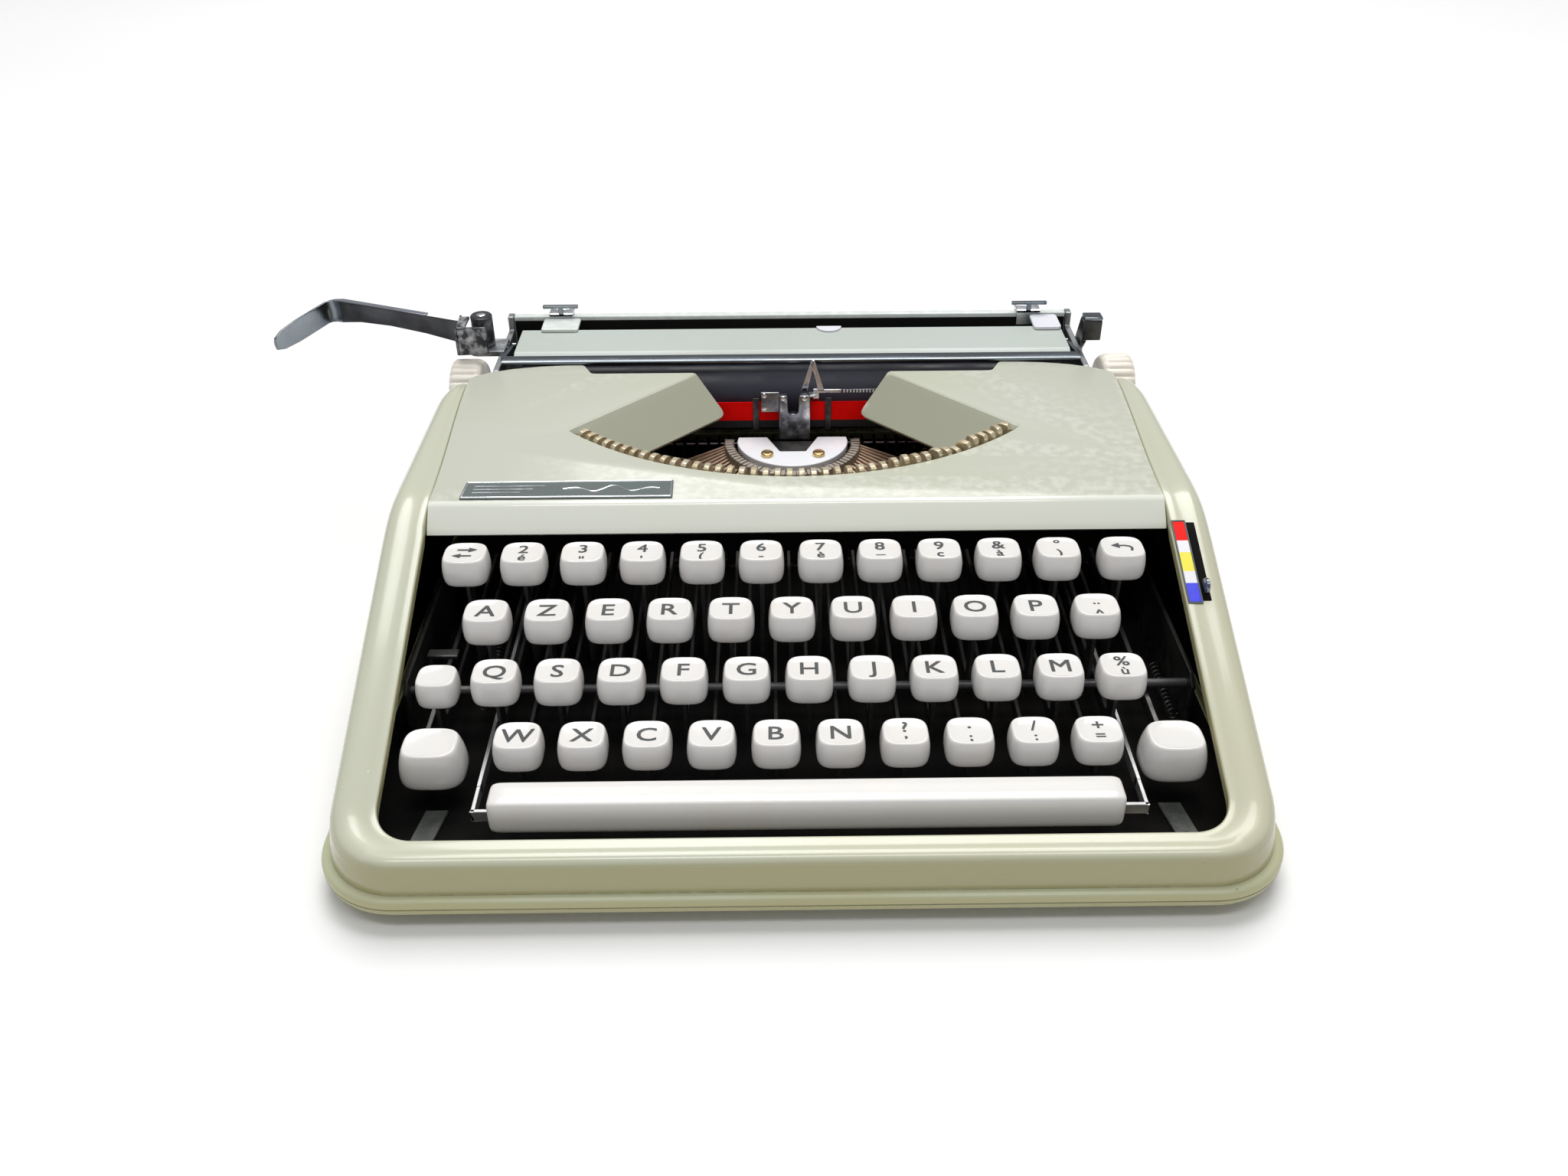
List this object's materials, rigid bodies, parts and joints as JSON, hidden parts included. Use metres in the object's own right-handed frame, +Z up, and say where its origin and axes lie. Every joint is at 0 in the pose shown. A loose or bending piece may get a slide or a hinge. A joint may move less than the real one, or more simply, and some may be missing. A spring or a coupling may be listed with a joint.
{
  "type": "portable typewriter",
  "caption": "Flat portable typewriter with sprung keys on one fulcrum rod, a sliding carriage with platen, return lever and paper bail, and a type basket.",
  "frame": {"origin": "centre of the four tie-down screw holes, on the plane the feet rest on", "axes": "+X to the typist's right, +Y away from the typist, +Z up"},
  "size_m": [0.3465, 0.282, 0.0785],
  "materials": {
    "base_plastic": "satin moulded plastic, slightly yellowed",
    "case_plastic": "gloss moulded plastic, light scratches",
    "cover_plastic": "gloss moulded plastic",
    "chassis_steel": "blackened steel",
    "type_brass": "worn brass and tinned steel",
    "bright_steel": "bright",
    "carriage_paint": "satin paint",
    "platen_rubber": "matt blue-black",
    "lever_chrome": "polished",
    "bail_chrome": "polished",
    "release_plastic": "matt black",
    "stop_chrome": "polished",
    "key_plastic": "gloss, slightly yellowed"
  },
  "bodies": {
    "case": {"base_tray": "base_plastic", "body_shell": "case_plastic", "ribbon_cover": "cover_plastic", "chassis": "chassis_steel", "type_mechanism": "type_brass"},
    "carriage": {"carriage_frame": "carriage_paint"},
    "platen": {"platen": "platen_rubber"},
    "return_lever": {"return_lever": "lever_chrome"},
    "paper_bail": {"paper_bail": "bail_chrome"},
    "carriage_release": {"carriage_release": "release_plastic"},
    "left_margin_stop": {"left_margin_stop": "stop_chrome"},
    "right_margin_stop": {"right_margin_stop": "stop_chrome"},
    "colour_selector": {"colour_selector": "bright_steel"},
    "shift_keys": {"shift_keys": "key_plastic"},
    "space_bar": {"space_bar": "key_plastic"},
    "number_key_1": {"number_key_1": "key_plastic"},
    "number_key_2": {"number_key_2": "key_plastic"},
    "number_key_3": {"number_key_3": "key_plastic"},
    "number_key_4": {"number_key_4": "key_plastic"},
    "number_key_5": {"number_key_5": "key_plastic"},
    "number_key_6": {"number_key_6": "key_plastic"},
    "number_key_7": {"number_key_7": "key_plastic"},
    "number_key_8": {"number_key_8": "key_plastic"},
    "number_key_9": {"number_key_9": "key_plastic"},
    "number_key_10": {"number_key_10": "key_plastic"},
    "upper_key_1": {"upper_key_1": "key_plastic"},
    "upper_key_2": {"upper_key_2": "key_plastic"},
    "upper_key_3": {"upper_key_3": "key_plastic"},
    "upper_key_4": {"upper_key_4": "key_plastic"},
    "upper_key_5": {"upper_key_5": "key_plastic"},
    "upper_key_6": {"upper_key_6": "key_plastic"},
    "upper_key_7": {"upper_key_7": "key_plastic"},
    "upper_key_8": {"upper_key_8": "key_plastic"},
    "upper_key_9": {"upper_key_9": "key_plastic"},
    "upper_key_10": {"upper_key_10": "key_plastic"},
    "upper_key_11": {"upper_key_11": "key_plastic"},
    "home_key_1": {"home_key_1": "key_plastic"},
    "home_key_2": {"home_key_2": "key_plastic"},
    "home_key_3": {"home_key_3": "key_plastic"},
    "home_key_4": {"home_key_4": "key_plastic"},
    "home_key_5": {"home_key_5": "key_plastic"},
    "home_key_6": {"home_key_6": "key_plastic"},
    "home_key_7": {"home_key_7": "key_plastic"},
    "home_key_8": {"home_key_8": "key_plastic"},
    "home_key_9": {"home_key_9": "key_plastic"},
    "home_key_10": {"home_key_10": "key_plastic"},
    "home_key_11": {"home_key_11": "key_plastic"},
    "lower_key_1": {"lower_key_1": "key_plastic"},
    "lower_key_2": {"lower_key_2": "key_plastic"},
    "lower_key_3": {"lower_key_3": "key_plastic"},
    "lower_key_4": {"lower_key_4": "key_plastic"},
    "lower_key_5": {"lower_key_5": "key_plastic"},
    "lower_key_6": {"lower_key_6": "key_plastic"},
    "lower_key_7": {"lower_key_7": "key_plastic"},
    "lower_key_8": {"lower_key_8": "key_plastic"},
    "lower_key_9": {"lower_key_9": "key_plastic"},
    "lower_key_10": {"lower_key_10": "key_plastic"},
    "margin_release_key": {"margin_release_key": "key_plastic"},
    "backspace_key": {"backspace_key": "key_plastic"},
    "shift_lock_key": {"shift_lock_key": "key_plastic"}
  },
  "joints": [
    {"name": "carriage_travel", "type": "slide", "parent": "case", "child": "carriage", "axis": [1, 0, 0], "range_m": [-0.105, 0.105]},
    {"name": "return_lever_swing", "type": "hinge", "parent": "carriage", "child": "return_lever", "pos_m": [-0.126, 0.112, 0.072], "axis": [0, 0, 1], "range_deg": [0, 18], "stiffness_Nm_per_rad": 0.15, "springref_deg": -2.86},
    {"name": "paper_bail_lift", "type": "hinge", "parent": "carriage", "child": "paper_bail", "pos_m": [0, 0.119, 0.06], "axis": [-1, 0, 0], "range_deg": [0, 70]},
    {"name": "platen_turn", "type": "hinge", "parent": "carriage", "child": "platen", "pos_m": [0, 0.098, 0.05], "axis": [1, 0, 0], "continuous": true},
    {"name": "carriage_release_press", "type": "hinge", "parent": "carriage", "child": "carriage_release", "pos_m": [0.121, 0.122, 0.056], "axis": [1, 0, 0], "range_deg": [0, 10], "stiffness_Nm_per_rad": 0.2, "springref_deg": -2.86},
    {"name": "left_margin_slide", "type": "slide", "parent": "carriage", "child": "left_margin_stop", "axis": [1, 0, 0], "range_m": [-0.012, 0.08]},
    {"name": "right_margin_slide", "type": "slide", "parent": "carriage", "child": "right_margin_stop", "axis": [1, 0, 0], "range_m": [-0.08, 0.008]},
    {"name": "colour_selector_slide", "type": "slide", "parent": "case", "child": "colour_selector", "axis": [0, 0.9253, 0.3794], "range_m": [0, 0.021]},
    {"name": "shift_keys_press", "type": "hinge", "parent": "case", "child": "shift_keys", "pos_m": [0, 0.11, 0.0195], "axis": [1, 0, 0], "range_deg": [0, 2.35], "stiffness_Nm_per_rad": 3, "springref_deg": -2.86},
    {"name": "space_bar_press", "type": "hinge", "parent": "case", "child": "space_bar", "pos_m": [0, 0.11, 0.0195], "axis": [1, 0, 0], "range_deg": [0, 1.59], "stiffness_Nm_per_rad": 2, "springref_deg": -2.86},
    {"name": "shift_lock_key_press", "type": "hinge", "parent": "case", "child": "shift_lock_key", "pos_m": [0, 0.11, 0.0195], "axis": [1, 0, 0], "range_deg": [0, 2.75], "stiffness_Nm_per_rad": 1.2, "springref_deg": -2.86},
    {"name": "margin_release_key_press", "type": "hinge", "parent": "case", "child": "margin_release_key", "pos_m": [0, 0.11, 0.0195], "axis": [1, 0, 0], "range_deg": [0, 3.46], "stiffness_Nm_per_rad": 1.2, "springref_deg": -2.86},
    {"name": "backspace_key_press", "type": "hinge", "parent": "case", "child": "backspace_key", "pos_m": [0, 0.11, 0.0195], "axis": [1, 0, 0], "range_deg": [0, 3.46], "stiffness_Nm_per_rad": 1.2, "springref_deg": -2.86},
    {"name": "number_key_1_press", "type": "hinge", "parent": "case", "child": "number_key_1", "pos_m": [0, 0.11, 0.0195], "axis": [1, 0, 0], "range_deg": [0, 3.46], "stiffness_Nm_per_rad": 1.2, "springref_deg": -2.86},
    {"name": "number_key_2_press", "type": "hinge", "parent": "case", "child": "number_key_2", "pos_m": [0, 0.11, 0.0195], "axis": [1, 0, 0], "range_deg": [0, 3.46], "stiffness_Nm_per_rad": 1.2, "springref_deg": -2.86},
    {"name": "number_key_3_press", "type": "hinge", "parent": "case", "child": "number_key_3", "pos_m": [0, 0.11, 0.0195], "axis": [1, 0, 0], "range_deg": [0, 3.46], "stiffness_Nm_per_rad": 1.2, "springref_deg": -2.86},
    {"name": "number_key_4_press", "type": "hinge", "parent": "case", "child": "number_key_4", "pos_m": [0, 0.11, 0.0195], "axis": [1, 0, 0], "range_deg": [0, 3.46], "stiffness_Nm_per_rad": 1.2, "springref_deg": -2.86},
    {"name": "number_key_5_press", "type": "hinge", "parent": "case", "child": "number_key_5", "pos_m": [0, 0.11, 0.0195], "axis": [1, 0, 0], "range_deg": [0, 3.46], "stiffness_Nm_per_rad": 1.2, "springref_deg": -2.86},
    {"name": "number_key_6_press", "type": "hinge", "parent": "case", "child": "number_key_6", "pos_m": [0, 0.11, 0.0195], "axis": [1, 0, 0], "range_deg": [0, 3.46], "stiffness_Nm_per_rad": 1.2, "springref_deg": -2.86},
    {"name": "number_key_7_press", "type": "hinge", "parent": "case", "child": "number_key_7", "pos_m": [0, 0.11, 0.0195], "axis": [1, 0, 0], "range_deg": [0, 3.46], "stiffness_Nm_per_rad": 1.2, "springref_deg": -2.86},
    {"name": "number_key_8_press", "type": "hinge", "parent": "case", "child": "number_key_8", "pos_m": [0, 0.11, 0.0195], "axis": [1, 0, 0], "range_deg": [0, 3.46], "stiffness_Nm_per_rad": 1.2, "springref_deg": -2.86},
    {"name": "number_key_9_press", "type": "hinge", "parent": "case", "child": "number_key_9", "pos_m": [0, 0.11, 0.0195], "axis": [1, 0, 0], "range_deg": [0, 3.46], "stiffness_Nm_per_rad": 1.2, "springref_deg": -2.86},
    {"name": "number_key_10_press", "type": "hinge", "parent": "case", "child": "number_key_10", "pos_m": [0, 0.11, 0.0195], "axis": [1, 0, 0], "range_deg": [0, 3.46], "stiffness_Nm_per_rad": 1.2, "springref_deg": -2.86},
    {"name": "upper_key_1_press", "type": "hinge", "parent": "case", "child": "upper_key_1", "pos_m": [0, 0.11, 0.0195], "axis": [1, 0, 0], "range_deg": [0, 3.06], "stiffness_Nm_per_rad": 1.2, "springref_deg": -2.86},
    {"name": "upper_key_2_press", "type": "hinge", "parent": "case", "child": "upper_key_2", "pos_m": [0, 0.11, 0.0195], "axis": [1, 0, 0], "range_deg": [0, 3.06], "stiffness_Nm_per_rad": 1.2, "springref_deg": -2.86},
    {"name": "upper_key_3_press", "type": "hinge", "parent": "case", "child": "upper_key_3", "pos_m": [0, 0.11, 0.0195], "axis": [1, 0, 0], "range_deg": [0, 3.06], "stiffness_Nm_per_rad": 1.2, "springref_deg": -2.86},
    {"name": "upper_key_4_press", "type": "hinge", "parent": "case", "child": "upper_key_4", "pos_m": [0, 0.11, 0.0195], "axis": [1, 0, 0], "range_deg": [0, 3.06], "stiffness_Nm_per_rad": 1.2, "springref_deg": -2.86},
    {"name": "upper_key_5_press", "type": "hinge", "parent": "case", "child": "upper_key_5", "pos_m": [0, 0.11, 0.0195], "axis": [1, 0, 0], "range_deg": [0, 3.06], "stiffness_Nm_per_rad": 1.2, "springref_deg": -2.86},
    {"name": "upper_key_6_press", "type": "hinge", "parent": "case", "child": "upper_key_6", "pos_m": [0, 0.11, 0.0195], "axis": [1, 0, 0], "range_deg": [0, 3.06], "stiffness_Nm_per_rad": 1.2, "springref_deg": -2.86},
    {"name": "upper_key_7_press", "type": "hinge", "parent": "case", "child": "upper_key_7", "pos_m": [0, 0.11, 0.0195], "axis": [1, 0, 0], "range_deg": [0, 3.06], "stiffness_Nm_per_rad": 1.2, "springref_deg": -2.86},
    {"name": "upper_key_8_press", "type": "hinge", "parent": "case", "child": "upper_key_8", "pos_m": [0, 0.11, 0.0195], "axis": [1, 0, 0], "range_deg": [0, 3.06], "stiffness_Nm_per_rad": 1.2, "springref_deg": -2.86},
    {"name": "upper_key_9_press", "type": "hinge", "parent": "case", "child": "upper_key_9", "pos_m": [0, 0.11, 0.0195], "axis": [1, 0, 0], "range_deg": [0, 3.06], "stiffness_Nm_per_rad": 1.2, "springref_deg": -2.86},
    {"name": "upper_key_10_press", "type": "hinge", "parent": "case", "child": "upper_key_10", "pos_m": [0, 0.11, 0.0195], "axis": [1, 0, 0], "range_deg": [0, 3.06], "stiffness_Nm_per_rad": 1.2, "springref_deg": -2.86},
    {"name": "upper_key_11_press", "type": "hinge", "parent": "case", "child": "upper_key_11", "pos_m": [0, 0.11, 0.0195], "axis": [1, 0, 0], "range_deg": [0, 3.06], "stiffness_Nm_per_rad": 1.2, "springref_deg": -2.86},
    {"name": "home_key_1_press", "type": "hinge", "parent": "case", "child": "home_key_1", "pos_m": [0, 0.11, 0.0195], "axis": [1, 0, 0], "range_deg": [0, 2.74], "stiffness_Nm_per_rad": 1.2, "springref_deg": -2.86},
    {"name": "home_key_2_press", "type": "hinge", "parent": "case", "child": "home_key_2", "pos_m": [0, 0.11, 0.0195], "axis": [1, 0, 0], "range_deg": [0, 2.74], "stiffness_Nm_per_rad": 1.2, "springref_deg": -2.86},
    {"name": "home_key_3_press", "type": "hinge", "parent": "case", "child": "home_key_3", "pos_m": [0, 0.11, 0.0195], "axis": [1, 0, 0], "range_deg": [0, 2.74], "stiffness_Nm_per_rad": 1.2, "springref_deg": -2.86},
    {"name": "home_key_4_press", "type": "hinge", "parent": "case", "child": "home_key_4", "pos_m": [0, 0.11, 0.0195], "axis": [1, 0, 0], "range_deg": [0, 2.74], "stiffness_Nm_per_rad": 1.2, "springref_deg": -2.86},
    {"name": "home_key_5_press", "type": "hinge", "parent": "case", "child": "home_key_5", "pos_m": [0, 0.11, 0.0195], "axis": [1, 0, 0], "range_deg": [0, 2.74], "stiffness_Nm_per_rad": 1.2, "springref_deg": -2.86},
    {"name": "home_key_6_press", "type": "hinge", "parent": "case", "child": "home_key_6", "pos_m": [0, 0.11, 0.0195], "axis": [1, 0, 0], "range_deg": [0, 2.74], "stiffness_Nm_per_rad": 1.2, "springref_deg": -2.86},
    {"name": "home_key_7_press", "type": "hinge", "parent": "case", "child": "home_key_7", "pos_m": [0, 0.11, 0.0195], "axis": [1, 0, 0], "range_deg": [0, 2.74], "stiffness_Nm_per_rad": 1.2, "springref_deg": -2.86},
    {"name": "home_key_8_press", "type": "hinge", "parent": "case", "child": "home_key_8", "pos_m": [0, 0.11, 0.0195], "axis": [1, 0, 0], "range_deg": [0, 2.74], "stiffness_Nm_per_rad": 1.2, "springref_deg": -2.86},
    {"name": "home_key_9_press", "type": "hinge", "parent": "case", "child": "home_key_9", "pos_m": [0, 0.11, 0.0195], "axis": [1, 0, 0], "range_deg": [0, 2.74], "stiffness_Nm_per_rad": 1.2, "springref_deg": -2.86},
    {"name": "home_key_10_press", "type": "hinge", "parent": "case", "child": "home_key_10", "pos_m": [0, 0.11, 0.0195], "axis": [1, 0, 0], "range_deg": [0, 2.74], "stiffness_Nm_per_rad": 1.2, "springref_deg": -2.86},
    {"name": "home_key_11_press", "type": "hinge", "parent": "case", "child": "home_key_11", "pos_m": [0, 0.11, 0.0195], "axis": [1, 0, 0], "range_deg": [0, 2.74], "stiffness_Nm_per_rad": 1.2, "springref_deg": -2.86},
    {"name": "lower_key_1_press", "type": "hinge", "parent": "case", "child": "lower_key_1", "pos_m": [0, 0.11, 0.0195], "axis": [1, 0, 0], "range_deg": [0, 2.49], "stiffness_Nm_per_rad": 1.2, "springref_deg": -2.86},
    {"name": "lower_key_2_press", "type": "hinge", "parent": "case", "child": "lower_key_2", "pos_m": [0, 0.11, 0.0195], "axis": [1, 0, 0], "range_deg": [0, 2.49], "stiffness_Nm_per_rad": 1.2, "springref_deg": -2.86},
    {"name": "lower_key_3_press", "type": "hinge", "parent": "case", "child": "lower_key_3", "pos_m": [0, 0.11, 0.0195], "axis": [1, 0, 0], "range_deg": [0, 2.49], "stiffness_Nm_per_rad": 1.2, "springref_deg": -2.86},
    {"name": "lower_key_4_press", "type": "hinge", "parent": "case", "child": "lower_key_4", "pos_m": [0, 0.11, 0.0195], "axis": [1, 0, 0], "range_deg": [0, 2.49], "stiffness_Nm_per_rad": 1.2, "springref_deg": -2.86},
    {"name": "lower_key_5_press", "type": "hinge", "parent": "case", "child": "lower_key_5", "pos_m": [0, 0.11, 0.0195], "axis": [1, 0, 0], "range_deg": [0, 2.49], "stiffness_Nm_per_rad": 1.2, "springref_deg": -2.86},
    {"name": "lower_key_6_press", "type": "hinge", "parent": "case", "child": "lower_key_6", "pos_m": [0, 0.11, 0.0195], "axis": [1, 0, 0], "range_deg": [0, 2.49], "stiffness_Nm_per_rad": 1.2, "springref_deg": -2.86},
    {"name": "lower_key_7_press", "type": "hinge", "parent": "case", "child": "lower_key_7", "pos_m": [0, 0.11, 0.0195], "axis": [1, 0, 0], "range_deg": [0, 2.49], "stiffness_Nm_per_rad": 1.2, "springref_deg": -2.86},
    {"name": "lower_key_8_press", "type": "hinge", "parent": "case", "child": "lower_key_8", "pos_m": [0, 0.11, 0.0195], "axis": [1, 0, 0], "range_deg": [0, 2.49], "stiffness_Nm_per_rad": 1.2, "springref_deg": -2.86},
    {"name": "lower_key_9_press", "type": "hinge", "parent": "case", "child": "lower_key_9", "pos_m": [0, 0.11, 0.0195], "axis": [1, 0, 0], "range_deg": [0, 2.49], "stiffness_Nm_per_rad": 1.2, "springref_deg": -2.86},
    {"name": "lower_key_10_press", "type": "hinge", "parent": "case", "child": "lower_key_10", "pos_m": [0, 0.11, 0.0195], "axis": [1, 0, 0], "range_deg": [0, 2.49], "stiffness_Nm_per_rad": 1.2, "springref_deg": -2.86}
  ]
}
